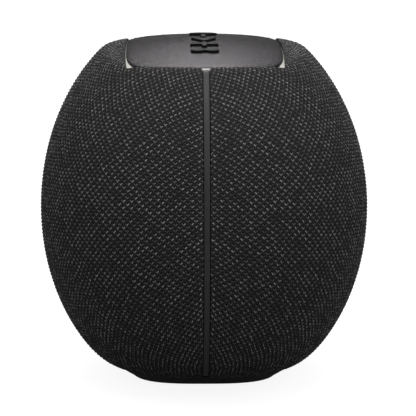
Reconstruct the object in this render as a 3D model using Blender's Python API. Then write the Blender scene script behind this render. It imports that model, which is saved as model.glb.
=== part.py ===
"""Portable speaker: an egg-shaped body in two knitted covers, with a metal key panel on top.

Units are metres. +X is the long axis (the product's right), -Y is the front, +Z is up.
The origin is at the middle of the underside, on the surface that the speaker stands on.
Heights named "rise" are measured from the body's centre, at CENTRE_Z.
"""

import math

import bmesh
import bpy
from mathutils import Matrix, Vector

MM = 0.001
GAP = 0.3 * MM

# Body: a superellipsoid that is squarer towards its top, cut by a domed top and a bowed underside.
CENTRE_Z = 77.5 * MM
HALF_X = 105.5 * MM
HALF_Y = 74.7 * MM
HALF_Z = 90.3 * MM
ROUND_YZ = 2.02
ROUND_X = 2.2
ROUND_X_GAIN = 0.35
CROWN = 75.7 * MM
CROWN_BEND_X = 0.85
CROWN_BEND_Y = 1.9
UNDERSIDE = 76.2 * MM
UNDERSIDE_BEND_X = 1.8
UNDERSIDE_BEND_Y = 0.3
SHOULDER_SHARPNESS = 150.0
HEM_SHARPNESS = 20.0
LEVEL_BAND = 0.05

# Covers, the frames behind them and the strip between the two halves.
SEAM_HALF = 1.8 * MM
COVER_THICKNESS = 1.0 * MM
FRAME_OUTSIDE = 3.3 * MM
FRAME_INSIDE = 5.0 * MM
STRIP_HALF = 1.5 * MM
STRIP_OUTSIDE = 0.5 * MM
STRIP_INSIDE = 3.0 * MM
SLOT_PITCH = 15.0 * MM
SLOT_HALF = 3.0 * MM
SLOT_FIELD_X = 68.0 * MM
SLOT_FIELD_Z = 42.0 * MM
SLOT_DEPTH_Y = 65.0 * MM
SLOT_HALF_DEPTH = 20.0 * MM

# Opening in the covers for the panel, and the panel in it.
OPENING = {"length": 70.0 * MM, "width": 36.0 * MM, "end_sag": 13.5 * MM, "side_sag": 1.2 * MM}
OPENING_CORNER = 140.0
PANEL_CORNER = 13.0
PANEL_MARGIN = 1.0 * MM
TRIM_MARGIN = 0.8 * MM
PANEL_THICKNESS = 1.4 * MM
PANEL_BEND_Y = 2.2
TRIM_THICKNESS = 1.5 * MM
TRIM_LEG_RADIUS = 2.5 * MM
TRIM_LEG_TOP = 71.5 * MM
TRIM_LEG_X = 38.0 * MM
TRIM_LEG_Y = 20.0 * MM

# Keys, the mat and board under them, and the carrier that holds both.
KEY_PITCH = 17.5 * MM
KEY_PROUD = 1.1 * MM
KEY_REACH = 6.4 * MM
KEY_FOOT = 7.6 * MM
KEY_FOOT_RISE = 71.4 * MM
KEY_ROOT = 0.4 * MM
KEY_LINE = 2.1 * MM
POWER_MOUTH = math.radians(38)
POWER_BAR_HALF = 2.9 * MM
POWER_BAR_Y = 3.6 * MM
ARROW_BACK = 0.75
ARROW_HALF = 0.88
ARROW_GROW = 1.9
LINK_WAIST = math.radians(30)
KEY_BED_X = 45.5 * MM
KEY_BED_Y = 9.2 * MM
MAT_RISES = (69.3 * MM, 70.4 * MM)
KEY_BOARD_RISES = (67.6 * MM, 69.0 * MM)
CARRIER_X = 47.0 * MM
CARRIER_Y = 10.0 * MM
CARRIER_TOP = 67.3 * MM
CARRIER_WALL = 3.0 * MM
CARRIER_DECK = 66.0 * MM
KEY_LEAD_X = 30.0 * MM
KEY_LEAD_Y = 4.5 * MM
KEY_LEAD_SLOT = (4.0 * MM, 2.0 * MM)

# Sealed enclosure inside the frames, with a post at each corner of the joint.
SHELL_OUTSIDE = 6.5 * MM
SHELL_INSIDE = 9.5 * MM
SHELL_TOP = 62.0 * MM
SHELL_BOTTOM = 64.0 * MM
SHELL_DEPTHS = (22.0 * MM, 38.0 * MM)
HOLLOW_DEPTHS = (-1.0 * MM, 20.0 * MM, 36.0 * MM)
WALL = 3.0 * MM
BAFFLE = 50.0 * MM
BAFFLE_BITE = 9.0 * MM
JOINT_HALF = 0.8 * MM
GASKET_HALF = 0.5 * MM
GASKET_INSETS = (6.8 * MM, 9.2 * MM)
BOSS_X = 50.0 * MM
BOSS_RISE = 30.0 * MM
FRONT_BOSS = 4.4 * MM
REAR_BOSS = 4.8 * MM
BOSS_SHORT = 1.0 * MM

# Screws: the shank, and a pan head with a drive recess.
SCREW_RADIUS = 1.4 * MM
SCREW_POINT = 0.4 * MM
SCREW_HEAD = 2.7 * MM
SCREW_CROWN = 1.2 * MM
SCREW_DRIVE = 0.9 * MM
SCREW_DRIVE_DEPTH = 1.2 * MM
SHELL_SCREW = {"length": 13.0 * MM, "head": 2.4 * MM}
SCREW_HEAD_HOLE = 3.2 * MM
SCREW_SEAT = 8.0 * MM
SCREW_HOLE_DEPTH = 16.0 * MM

# Drivers. A profile is a list of (radius, depth along Y) points in millimetres.
WOOFER_HOLE = 38.0 * MM
TWEETER_HOLE = 9.3 * MM
RADIATOR_HOLE = 41.0 * MM
TWEETER_X = 54.0 * MM
ROLL_LIP = 1.4
ROLL_THICKNESS = 0.8
BASKET = (
    (35.0, -50.3), (35.6, -53.0), (41.5, -53.0), (41.5, -50.3), (37.4, -50.3),
    (21.4, -30.0), (21.4, -28.0), (15.0, -28.0), (15.0, -30.0), (19.6, -30.4),
)
MAGNET = (
    (0, -27.7), (10.0, -27.7), (10.0, -14.0), (13.0, -14.0), (13.0, -27.7),
    (22.0, -27.7), (22.0, -8.0), (0, -8.0),
)
SPIDER = ((12.6, -30.8), (19.0, -30.8), (19.0, -30.4), (12.6, -30.4))
CONE = ((10.9, -34.3), (12.1, -34.3), (32.0, -50.5), (32.0, -51.5), (31.0, -51.5), (10.9, -36.0))
DUST_CAP = (
    (0, -42.6), (6.0, -42.2), (11.0, -41.0), (14.2, -39.3), (13.4, -39.0), (10.4, -40.2), (0, -41.8),
)
VOICE_COIL = ((10.9, -34.0), (12.1, -34.0), (12.1, -19.0), (10.9, -19.0))
WOOFER_ROLL = {"inner": 32.3, "outer": 41.0, "depth": -53.3, "outward": -1}
WOOFER_ORIGIN_Y = -36.0 * MM
TWEETER_BODY = (
    (0, -48.0), (7.2, -48.0), (7.2, -52.3), (10.5, -52.3), (10.5, -50.3),
    (9.0, -50.3), (9.0, -40.0), (0, -40.0),
)
TWEETER_DOME = (
    (0, -52.0), (3.6, -51.4), (6.4, -49.8), (6.4, -49.1), (5.8, -49.1), (3.2, -50.8), (0, -51.3),
)
TWEETER_ORIGIN_Y = -50.0 * MM
RADIATOR_FRAME = ((41.8, 50.3), (47.0, 50.3), (47.0, 52.5), (41.8, 52.5))
RADIATOR_ROLL = {"inner": 34.3, "outer": 46.5, "depth": 52.8, "outward": 1}
RADIATOR_PLATE = (
    (0, 50.5), (12.0, 50.5), (12.0, 51.5), (34.0, 51.5), (34.0, 53.5), (14.0, 53.5), (12.0, 55.5), (0, 55.5),
)
RADIATOR_ORIGIN_Y = 52.0 * MM

# Foot.
FOOT_TOP = {"length": 41.5 * MM, "width": 39.2 * MM}
FOOT_BOTTOM = {"length": 36.5 * MM, "width": 33.6 * MM}
PAD = {"length": 31.0 * MM, "width": 26.8 * MM}
PAD_THICKNESS = 1.5 * MM
PAD_RECESS = 1.8 * MM
FOOT_HEIGHT = 5.2 * MM
FOOT_LIFT = 0.5 * MM
FOOT_SCREW_X = 20.0 * MM
FOOT_SCREW_Y = 13.0 * MM
FOOT_SCREW_SEAT = 4.1 * MM
FOOT_SCREW_TIP = 16.2 * MM
FOOT_SCREW_HEAD = 2.2 * MM
FOOT_HEAD_HOLE = (3.1 * MM, 1.0 * MM, 4.4 * MM)
FOOT_SHANK_TOP = 18.0 * MM

# Charging socket, low on the back, square to the body there. Halves are (length, width).
SOCKET_RISE = -62.0 * MM
SOCKET_DEPTH_Y = 54.6 * MM
SOCKET_TILT = math.radians(-38.0)
SOCKET_PLATE = (11.0 * MM, 5.5 * MM)
SOCKET_PLATE_RISES = (-8.5 * MM, 0.6 * MM)
SOCKET_WINDOW = (4.8 * MM, 1.95 * MM)
SOCKET_SHELL = (4.5 * MM, 1.65 * MM)
SOCKET_HOLLOW = (4.15 * MM, 1.3 * MM)
SOCKET_TONGUE = (3.3 * MM, 0.35 * MM)
SOCKET_BACK = -8.2 * MM
SOCKET_FLOOR = -7.2 * MM
SOCKET_TONGUE_RISES = (-7.6 * MM, -1.0 * MM)
SOCKET_BOARD = (7.5 * MM, 5.0 * MM)
SOCKET_BOARD_RISES = (-10.0 * MM, -8.8 * MM)
SOCKET_SEAL = -13.0 * MM
SOCKET_THROUGH = 20.0 * MM

# Battery, main board and heat sink.
CELL = ((0, -32.5), (9.2, -32.5), (9.2, 31.6), (4, 31.6), (4, 32.5), (0, 32.5))
CELL_RADIUS = 9.2 * MM
CELL_Y = 10.0 * MM
CELL_RISE = -46.8 * MM
CRADLE_X = 35.0 * MM
CRADLE_Y = 21.5 * MM
CRADLE_RISES = (-57.4 * MM, -47.3 * MM)
BOARD_X = 44.0 * MM
BOARD_Z = 28.0 * MM
BOARD_DEPTHS = (28.1 * MM, 29.7 * MM)
BOARD_POST_X = 40.0 * MM
BOARD_POST_Z = 24.0 * MM
BOARD_POST_RADIUS = 3.0 * MM
BOARD_POST_DEPTH = 30.0 * MM
BOARD_HOLE = 1.1 * MM
SINK_DEPTHS = (30.0 * MM, 32.0 * MM, 38.0 * MM)
SINK_HALF_X = 15.0 * MM
SINK_HALF_Z = 14.0 * MM
FIN_COUNT = 6
FIN_PITCH = 5.6 * MM
FIN_THICKNESS = 2.0 * MM

# Leads: each route's points in millimetres from the body's centre, and radii.
WOOFER_ROUTE = ((-22, 27.4, 12), (-24, 20, 13), (-31, 0, 14), (-31, -24, 8), (-27, -33, 4))
TWEETER_ROUTE = ((39, 27.4, 8), (42, 20, 8), (54, 0, 8), (56, -28, 3), (54, -39.5, 0))
BATTERY_ROUTE = ((33.2, 4, -44.8), (38, 8, -42), (37, 20, -35), (33, 25, -24), (31, 27.0, -20))
KEY_ROUTE = ((30, 4.5, 67.2), (30, 4.5, 60), (30, 7, 50), (30, 22, 34), (30, 27, 24))
SOCKET_ROUTE = ((0, 46.2, -55.2), (0, 43, -52.5), (0, 37, -46), (0, 30.5, -38), (0, 28.9, -28.4))
THIN_LEAD = 0.7 * MM
LEAD = 0.9 * MM
THICK_LEAD = 1.0 * MM

# Steps round and down the half-body sheets, round turned pieces and outlines, and along leads.
END_STEPS = 4
SIDE_STEPS = 12
ROWS = 10
EDGE_ROUNDS = 8
PLATE_STEPS = 32
PLATE_BANDS = 4
SECTION_STEPS = 28
ROUND = 20
MEDIUM_ROUND = 16
SMALL_ROUND = 12
SCREW_ROUND = 10
ROLL_STEPS = 4
SOCKET_STEPS = 6
MARK_STEPS = 12
LINK_STEPS = 10
LEAD_STEPS = 3
SHARP_EDGE = math.radians(35)

CORNERS = ((-1, -1), (1, -1), (1, 1), (-1, 1))
THROUGH_TOP = (60.0 * MM, 80.0 * MM)


# Solids are (points, faces) pairs until add_part makes an object of them.


def merged(*solids):
    points = []
    faces = []
    for solid_points, solid_faces in solids:
        start = len(points)
        points += [tuple(point) for point in solid_points]
        faces += [tuple(start + index for index in face) for face in solid_faces]
    return points, faces


def moved(solid, matrix):
    points, faces = solid
    return [tuple(matrix @ Vector(point)) for point in points], faces


def loft(rings, closed=False, tips=()):
    """Skin over rings of equal length, which ends in flat caps, in fans to two tips, or in its own start."""
    count = len(rings[0])
    points = [point for ring in rings for point in ring]
    faces = []
    for row in range(len(rings) if closed else len(rings) - 1):
        low = row * count
        high = (row + 1) % len(rings) * count
        for index in range(count):
            after = (index + 1) % count
            faces.append((low + index, low + after, high + after, high + index))
    last = (len(rings) - 1) * count
    if tips:
        points += tips
        for index in range(count):
            after = (index + 1) % count
            faces.append((after, index, len(points) - 2))
            faces.append((last + index, last + after, len(points) - 1))
    elif not closed:
        faces.append(tuple(reversed(range(count))))
        faces.append(tuple(last + index for index in range(count)))
    return points, faces


def prism(outline, low, high):
    """An outline in X and Y, from height low to height high."""
    return loft([[(x, y, height) for x, y in outline] for height in (low, high)])


def rectangle(half_x, half_y, x=0.0, y=0.0):
    return [(x + along * half_x, y + across * half_y) for along, across in CORNERS]


def block(half_x, half_y, low, high):
    return prism(rectangle(half_x, half_y), low, high)


def turned(profile, segments=ROUND):
    """A closed profile of (radius, height) points turned about Z."""
    points = []
    rings = []
    for radius, height in profile:
        if radius == 0:
            rings.append([len(points)] * segments)
            points.append((0.0, 0.0, height))
            continue
        rings.append(list(range(len(points), len(points) + segments)))
        for step in range(segments):
            angle = math.tau * step / segments
            points.append((radius * math.cos(angle), radius * math.sin(angle), height))
    faces = []
    for index, ring in enumerate(rings):
        following = rings[(index + 1) % len(rings)]
        for step in range(segments):
            after = (step + 1) % segments
            corners = [ring[step], ring[after], following[after], following[step]]
            corners = list(dict.fromkeys(corners))
            if len(corners) > 2:
                faces.append(tuple(corners))
    return points, faces


def cylinder(radius, low, high, segments=SMALL_ROUND):
    return turned([(0, low), (radius, low), (radius, high), (0, high)], segments)


def along_y(solid, x=0.0, rise=0.0):
    """Turns a solid made about Z so that its axis runs along +Y, through (x, rise)."""
    return moved(solid, Matrix.Translation((x, 0, CENTRE_Z + rise)) @ Matrix.Rotation(-math.pi / 2, 4, "X"))


def lifted(solid, x=0.0, y=0.0, rise=0.0):
    return moved(solid, Matrix.Translation((x, y, CENTRE_Z + rise)))


def standing(solid, x, y):
    return moved(solid, Matrix.Translation((x, y, 0)))


def material(name, colour, roughness, metallic=0.0):
    made = bpy.data.materials.new(name)
    made.use_nodes = True
    shader = made.node_tree.nodes["Principled BSDF"]
    shader.inputs["Base Color"].default_value = (*colour, 1.0)
    shader.inputs["Roughness"].default_value = roughness
    shader.inputs["Metallic"].default_value = metallic
    made.diffuse_color = (*colour, 1.0)
    return made


def add_part(name, solid, look, origin=(0, 0, 0)):
    """An object of this solid, facing outwards, with its origin on its joint's axis."""
    points, faces = solid
    mesh = bpy.data.meshes.new(name)
    mesh.from_pydata([Vector(point) - Vector(origin) for point in points], [], faces)
    shape = bmesh.new()
    shape.from_mesh(mesh)
    bmesh.ops.recalc_face_normals(shape, faces=shape.faces)
    shape.to_mesh(mesh)
    shape.free()
    mesh.shade_smooth()
    mesh.set_sharp_from_angle(angle=SHARP_EDGE)
    mesh.materials.append(look)
    part = bpy.data.objects.new(name, mesh)
    part.location = origin
    bpy.context.scene.collection.objects.link(part)
    return part


def add_tool(part, name, solid, operation):
    tool = add_part(name, solid, part.data.materials[0])
    tool.hide_render = True
    tool.display_type = "WIRE"
    step = part.modifiers.new(name, "BOOLEAN")
    step.operation = operation
    step.object = tool
    step.solver = "EXACT"


def cut(part, *solids):
    add_tool(part, f"{part.name}.cutter{len(part.modifiers)}", merged(*solids), "DIFFERENCE")


def join(part, *solids):
    add_tool(part, f"{part.name}.added{len(part.modifiers)}", merged(*solids), "UNION")


def add_lead(name, route, radius, look):
    """A round insulated lead along a smooth curve through the route's points."""
    knots = [Vector(point) for point in route]
    knots = [2 * knots[0] - knots[1], *knots, 2 * knots[-1] - knots[-2]]
    path = []
    for before, start, end, after in zip(knots, knots[1:], knots[2:], knots[3:]):
        for step in range(LEAD_STEPS):
            t = step / LEAD_STEPS
            bend = 2 * before - 5 * start + 4 * end - after
            twist = 3 * start - before - 3 * end + after
            path.append(start + 0.5 * t * ((end - before) + t * (bend + t * twist)))
    path.append(knots[-2])
    curve = bpy.data.curves.new(name, "CURVE")
    curve.dimensions = "3D"
    curve.bevel_depth = radius
    curve.bevel_resolution = 2
    curve.use_fill_caps = True
    line = curve.splines.new("POLY")
    line.points.add(len(path) - 1)
    for point, place in zip(line.points, path):
        point.co = (*place, 1.0)
    curve.materials.append(look)
    bpy.context.scene.collection.objects.link(bpy.data.objects.new(name, curve))


# The body's surface.


def dome_rise(x, y, bend_y=CROWN_BEND_Y):
    return CROWN - CROWN_BEND_X * x * x - bend_y * y * y


def bowed_reach(level, bend, rise):
    """Distance along a ray to a bowed face that is level from the centre and bends back towards it."""
    return 2 * level / (rise + math.sqrt(rise * rise + 4 * bend * level))


def softened(reach, limit, sharpness):
    """The smaller of two distances, with a smooth change from one to the other."""
    return reach * (1 + (reach / limit) ** sharpness) ** (-1 / sharpness)


def body_reach(direction, inset):
    """Distance from the centre of a half body to its surface, moved inwards by inset."""
    x, y, z = (abs(part) for part in direction)
    round_x = ROUND_X + ROUND_X_GAIN * direction[2]
    middle = (y / (HALF_Y - SEAM_HALF - inset)) ** ROUND_YZ + (z / (HALF_Z - inset)) ** ROUND_YZ
    egg = ((x / (HALF_X - inset)) ** round_x + middle ** (round_x / ROUND_YZ)) ** (-1 / round_x)
    if direction[2] > LEVEL_BAND:
        bend = CROWN_BEND_X * x * x + CROWN_BEND_Y * y * y
        return softened(egg, bowed_reach(CROWN - inset, bend, z), SHOULDER_SHARPNESS)
    if direction[2] < -LEVEL_BAND:
        bend = UNDERSIDE_BEND_X * x * x + UNDERSIDE_BEND_Y * y * y
        return softened(egg, bowed_reach(UNDERSIDE - inset, bend, z), HEM_SHARPNESS)
    return egg


def tilted(angle, tilt):
    flat = math.cos(tilt)
    return flat * math.cos(angle), flat * math.sin(angle), math.sin(tilt)


def body_point(angle, tilt, side, inset):
    """A point on a half body. side is -1 at the front, 1 at the back and 0 on the middle plane."""
    direction = tilted(angle, tilt)
    reach = body_reach(direction, inset)
    x, y, z = (reach * part for part in direction)
    return x, y + side * SEAM_HALF, CENTRE_Z + z


def arc_reach(along, across, half_length, half_width, sag):
    """Distance along a ray to the line x = half_length - sag * (y / half_width) ** 2."""
    bend = sag * (across / half_width) ** 2
    return 2 * half_length / (along + math.sqrt(along * along + 4 * bend * half_length))


def cushion_reach(angle, margin, corner, seam=0.0):
    """Distance to a four-sided outline with bowed sides, whose corners are sharper as corner grows."""
    length = OPENING["length"] - margin
    width = OPENING["width"] - margin
    along = abs(math.cos(angle))
    across = abs(math.sin(angle))
    end = arc_reach(along, across, length, width, OPENING["end_sag"])
    side = arc_reach(across, along, width - seam, length, OPENING["side_sag"])
    return end * (1 + (end / side) ** corner) ** (-1 / corner)


def oval_reach(angle, size, seam=0.0):
    """Distance to the foot's outline, an oval with full corners."""
    along = abs(math.cos(angle)) / size["length"]
    across = abs(math.sin(angle)) / (size["width"] - seam)
    return (along**3 + across**3) ** (-1 / 3)


def oval(size, count=ROUND, grow=0.0):
    grown = {name: value + grow for name, value in size.items()}
    angles = [math.tau * step / count for step in range(count)]
    return [(oval_reach(a, grown) * math.cos(a), oval_reach(a, grown) * math.sin(a)) for a in angles]


def edge_tilt(angle, reach, rise, inset):
    """Tilt of the surface at this distance out from the centre in plan, sought from a first rise."""
    for _ in range(EDGE_ROUNDS):
        direction = tilted(angle, math.atan2(rise, reach))
        rise = body_reach(direction, inset) * direction[2]
    return math.atan2(rise, reach)


def tilts(angle, count, seam, inset):
    """Tilts of a column of points moved inwards by inset, from the panel's opening down to the foot's."""
    opening = cushion_reach(angle, 0.0, OPENING_CORNER, seam)
    top = edge_tilt(angle, opening, CROWN, inset)
    bottom = edge_tilt(angle, oval_reach(angle, FOOT_TOP, seam) + 2 * GAP, -UNDERSIDE, inset)
    return [top + (bottom - top) * step / count for step in range(count + 1)]


def half_angles(side):
    """Directions round a half body, with one on each corner of the panel's opening."""
    corner = math.atan2(OPENING["width"], OPENING["length"] - OPENING["end_sag"])
    angles = [corner * step / END_STEPS for step in range(END_STEPS)]
    angles += [corner + (math.pi - 2 * corner) * step / SIDE_STEPS for step in range(SIDE_STEPS)]
    angles += [math.pi - corner + corner * step / END_STEPS for step in range(END_STEPS + 1)]
    return [side * angle for angle in angles]


def half_skin(side, outside, inside):
    """A closed sheet over the front or the back half of the body."""
    rings = []
    for angle in half_angles(side):
        outer = [body_point(angle, tilt, side, outside) for tilt in tilts(angle, ROWS, SEAM_HALF, outside)]
        inner = [body_point(angle, tilt, side, inside) for tilt in tilts(angle, ROWS, SEAM_HALF, inside)]
        rings.append(outer + inner[::-1])
    return strip_caps(rings, ROWS + 1)


def strip_caps(rings, half):
    """Skins rings that fold back on themselves, and closes each end with a row of quads."""
    points, faces = loft(rings)
    faces = faces[:-2]
    count = len(rings[0])
    for start in (0, (len(rings) - 1) * count):
        for row in range(half - 1):
            back = count - 1 - row
            faces.append((start + row, start + row + 1, start + back - 1, start + back))
    return points, faces


def make_covers(knit, frame):
    for side, where in ((-1, "front"), (1, "rear")):
        cover = add_part(f"{where}_cover", half_skin(side, 0.0, COVER_THICKNESS), knit)
        support = half_skin(side, FRAME_OUTSIDE, FRAME_INSIDE)
        grille = add_part(f"{where}_grille", support, frame)
        cut(grille, *grille_slots(side))
        if side > 0:
            cut(cover, socket_hole(-SOCKET_THROUGH))
            cut(grille, socket_hole(-SOCKET_THROUGH))


def grille_slots(side):
    """Level sound slots inside an oval, wide enough at the middle to reach both tweeters."""
    slots = []
    for step in range(-2, 3):
        rise = step * SLOT_PITCH
        reach = SLOT_FIELD_X * math.sqrt(1 - (rise / SLOT_FIELD_Z) ** 2)
        slot = block(reach, SLOT_HALF_DEPTH, -SLOT_HALF, SLOT_HALF)
        slots.append(lifted(slot, 0, side * SLOT_DEPTH_Y, rise))
    return slots


def make_strips(look):
    for direction, name in ((math.pi, "seam_strip_left"), (0.0, "seam_strip_right")):
        columns = [tilts(direction, 2 * ROWS, 0.0, inset) for inset in (STRIP_OUTSIDE, STRIP_INSIDE)]
        rings = []
        for outer_tilt, inner_tilt in zip(*columns):
            outer = body_point(direction, outer_tilt, 0, STRIP_OUTSIDE)
            inner = body_point(direction, inner_tilt, 0, STRIP_INSIDE)
            ring = [(outer[0], STRIP_HALF, outer[2]), (outer[0], -STRIP_HALF, outer[2])]
            ring += [(inner[0], -STRIP_HALF, inner[2]), (inner[0], STRIP_HALF, inner[2])]
            rings.append(ring)
        add_part(name, loft(rings), look)


# Top panel and keys.


def domed_plate(margin, corner, bend_y, top_drop, thickness):
    """A plate with the panel's outline that follows the dome."""
    layers = []
    for drop in (top_drop, top_drop + thickness):
        for band in range(1, PLATE_BANDS + 1):
            ring = []
            for step in range(PLATE_STEPS):
                angle = math.tau * step / PLATE_STEPS
                reach = cushion_reach(angle, margin, corner) * band / PLATE_BANDS
                x = reach * math.cos(angle)
                y = reach * math.sin(angle)
                ring.append((x, y, CENTRE_Z + dome_rise(x, y, bend_y) - drop))
            layers.append(ring)
    rings = layers[:PLATE_BANDS] + layers[:PLATE_BANDS - 1:-1]
    middle = CENTRE_Z + CROWN - top_drop
    return loft(rings, tips=[(0, 0, middle), (0, 0, middle - thickness)])


def cross(reach, half_line):
    corners = []
    for quarter in range(4):
        turn = Matrix.Rotation(quarter * math.pi / 2, 2)
        for x, y in ((half_line, -half_line), (reach, -half_line), (reach, half_line)):
            corners.append(tuple(turn @ Vector((x, y))))
    return corners


def arrowhead(reach, grow):
    """A triangle pointing along +X, moved outwards by grow."""
    back = -ARROW_BACK * reach - grow
    half = ARROW_HALF * reach + ARROW_GROW * grow
    return [(back, -half), (reach + ARROW_GROW * grow, 0), (back, half)]


def linked_rings(reach, grow):
    """The outline round two discs that touch, one behind the other along Y."""
    radius = reach / 2 + grow
    outline = []
    for side in (-1, 1):
        for step in range(LINK_STEPS + 1):
            swing = (math.tau - 2 * LINK_WAIST) * step / LINK_STEPS + LINK_WAIST
            angle = swing - side * math.pi / 2
            outline.append((radius * math.cos(angle), side * reach / 2 + radius * math.sin(angle)))
    return outline


def power_mark(reach, grow):
    """A ring that is open towards +Y, as one outline."""
    mouth = POWER_MOUTH - grow / reach
    outer = reach + grow
    inner = reach - KEY_LINE - grow
    share = [step / MARK_STEPS for step in range(MARK_STEPS + 1)]
    turn = [math.pi / 2 + mouth + (math.tau - 2 * mouth) * part for part in share]
    outline = [(outer * math.cos(a), outer * math.sin(a)) for a in turn]
    return outline + [(inner * math.cos(a), inner * math.sin(a)) for a in reversed(turn)]


def key_outlines(name, grow):
    half_line = KEY_LINE / 2 + grow
    if name == "power_key":
        return [power_mark(KEY_REACH, grow), rectangle(half_line, POWER_BAR_HALF + grow, 0, POWER_BAR_Y)]
    if name == "volume_down_key":
        return [rectangle(KEY_REACH + grow, half_line)]
    if name == "volume_up_key":
        return [cross(KEY_REACH + grow, half_line)]
    if name == "play_key":
        return [arrowhead(KEY_REACH, grow)]
    return [linked_rings(KEY_REACH, grow)]


KEYS = ("power_key", "volume_down_key", "play_key", "volume_up_key", "pairing_key")


def key_prism(outline, low, face, slope):
    """A prism whose top is at height face over the key's middle and falls along +X by slope."""
    foot = [(x, y, low) for x, y in outline]
    top = [(x, y, face - slope * x) for x, y in outline]
    return loft([foot, top])


def make_panel(metal, pale):
    plate = domed_plate(PANEL_MARGIN, PANEL_CORNER, PANEL_BEND_Y, 0.0, PANEL_THICKNESS)
    panel = add_part("top_panel", plate, metal)
    for index, name in enumerate(KEYS):
        for outline in key_outlines(name, GAP):
            cut(panel, lifted(prism(outline, *THROUGH_TOP), (index - 2) * KEY_PITCH))
    trim_drop = PANEL_THICKNESS + GAP
    tray = domed_plate(TRIM_MARGIN, OPENING_CORNER, PANEL_BEND_Y, trim_drop, TRIM_THICKNESS)
    trim = add_part("panel_trim", tray, pale)
    cut(trim, lifted(block(CARRIER_X, CARRIER_Y, *THROUGH_TOP)))
    leg = cylinder(TRIM_LEG_RADIUS, SHELL_TOP + GAP, TRIM_LEG_TOP)
    join(trim, *(lifted(leg, along * TRIM_LEG_X, across * TRIM_LEG_Y) for along, across in CORNERS))


def make_keys(black, green):
    for index, name in enumerate(KEYS):
        x = (index - 2) * KEY_PITCH
        face = dome_rise(x, 0) + KEY_PROUD
        slope = 2 * CROWN_BEND_X * x
        shoulder = dome_rise(abs(x) + KEY_FOOT, KEY_FOOT, PANEL_BEND_Y) - PANEL_THICKNESS - GAP
        foot = block(KEY_FOOT, KEY_FOOT, KEY_FOOT_RISE, shoulder)
        key = add_part(name, lifted(foot, x), black, (x, 0, CENTRE_Z + face))
        for outline in key_outlines(name, 0.0):
            join(key, lifted(key_prism(outline, shoulder - KEY_ROOT, face, slope), x))
    add_part("key_mat", lifted(block(KEY_BED_X, KEY_BED_Y, *MAT_RISES)), black)
    add_part("key_board", lifted(block(KEY_BED_X, KEY_BED_Y, *KEY_BOARD_RISES)), green)
    outside = block(CARRIER_X, CARRIER_Y, SHELL_TOP + GAP, CARRIER_TOP)
    inside = block(CARRIER_X - CARRIER_WALL, CARRIER_Y - CARRIER_WALL, SHELL_TOP - WALL, CARRIER_DECK)
    slot = lifted(block(*KEY_LEAD_SLOT, CARRIER_DECK - WALL, CARRIER_TOP + WALL), KEY_LEAD_X, KEY_LEAD_Y)
    carrier = add_part("key_carrier", lifted(outside), black)
    cut(carrier, lifted(inside))
    cut(carrier, slot)


# Enclosure.


def section(y, inset):
    """Outline of the enclosure at depth y, as (x, rise) points: flat on top, with a bowed underside."""
    shrink = math.sqrt(1 - (y / (HALF_Y - inset)) ** 2)
    outline = []
    for step in range(SECTION_STEPS):
        angle = math.tau * step / SECTION_STEPS
        x = (HALF_X - inset) * shrink * math.cos(angle)
        rise = (HALF_Z - inset) * shrink * math.sin(angle)
        top = SHELL_TOP - (inset - SHELL_OUTSIDE)
        bottom = SHELL_BOTTOM - (inset - SHELL_OUTSIDE) - UNDERSIDE_BEND_X * x * x
        outline.append((x, max(-bottom, min(top, rise))))
    return outline


def section_ring(side, y, inset):
    return [(x, side * y, CENTRE_Z + rise) for x, rise in section(y, inset)]


def add_shell(name, side, look):
    """Half of the enclosure: a solid with a flat baffle, hollowed from the joint."""
    outer = [section_ring(side, y, SHELL_OUTSIDE) for y in (JOINT_HALF, *SHELL_DEPTHS, BAFFLE)]
    inner = [section_ring(side, y, SHELL_INSIDE) for y in (*HOLLOW_DEPTHS, BAFFLE - WALL)]
    shell = add_part(name, loft(outer), look)
    cut(shell, loft(inner))
    return shell


def shell_bosses(side, radius, low, high):
    """Four posts at the corners, from depth low to depth high."""
    ends = sorted((side * low, side * high))
    post = cylinder(radius, *ends)
    return [along_y(post, along * BOSS_X, up * BOSS_RISE) for along, up in CORNERS]


def baffle_hole(side, radius, segments, x=0.0):
    ends = sorted((side * (BAFFLE - BAFFLE_BITE), side * (BAFFLE + BAFFLE_BITE)))
    return along_y(cylinder(radius, *ends, segments), x)


def make_enclosure(plastic, rubber, steel):
    front = add_shell("front_shell", -1, plastic)
    rear = add_shell("rear_shell", 1, plastic)
    bore = SCREW_RADIUS + GAP
    join(front, *shell_bosses(-1, FRONT_BOSS, JOINT_HALF, BAFFLE - BOSS_SHORT))
    join(rear, *shell_bosses(1, REAR_BOSS, JOINT_HALF, BAFFLE - BOSS_SHORT))
    cut(front, *shell_bosses(-1, bore, -WALL, SCREW_HOLE_DEPTH))
    cut(rear, *shell_bosses(1, bore, -WALL, SCREW_SEAT + GAP))
    cut(rear, *shell_bosses(1, SCREW_HEAD_HOLE, SCREW_SEAT, BAFFLE + WALL))
    tweeters = [baffle_hole(-1, TWEETER_HOLE, MEDIUM_ROUND, x) for x in (-TWEETER_X, TWEETER_X)]
    cut(front, baffle_hole(-1, WOOFER_HOLE, ROUND), *tweeters)
    cut(rear, baffle_hole(1, RADIATOR_HOLE, ROUND))
    cut(front, *foot_screw_holes(-1))
    cut(rear, *foot_screw_holes(1))
    cut(rear, socket_hole(SOCKET_SEAL))
    key_hole = cylinder(KEY_LEAD_SLOT[1], SHELL_TOP - 4 * WALL, SHELL_TOP + WALL)
    cut(rear, lifted(key_hole, KEY_LEAD_X, KEY_LEAD_Y))
    outer, inner = GASKET_INSETS
    rings = [section_ring(1, y, outer) for y in (GASKET_HALF, -GASKET_HALF)]
    rings += [section_ring(1, y, inner) for y in (-GASKET_HALF, GASKET_HALF)]
    add_part("shell_gasket", loft(rings, closed=True), rubber)
    fixing = screw(-SHELL_SCREW["length"], SCREW_SEAT + GAP, SHELL_SCREW["head"])
    for number, (along, up) in enumerate(CORNERS, 1):
        add_part(f"shell_screw_{number}", along_y(fixing, along * BOSS_X, up * BOSS_RISE), steel)


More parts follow.
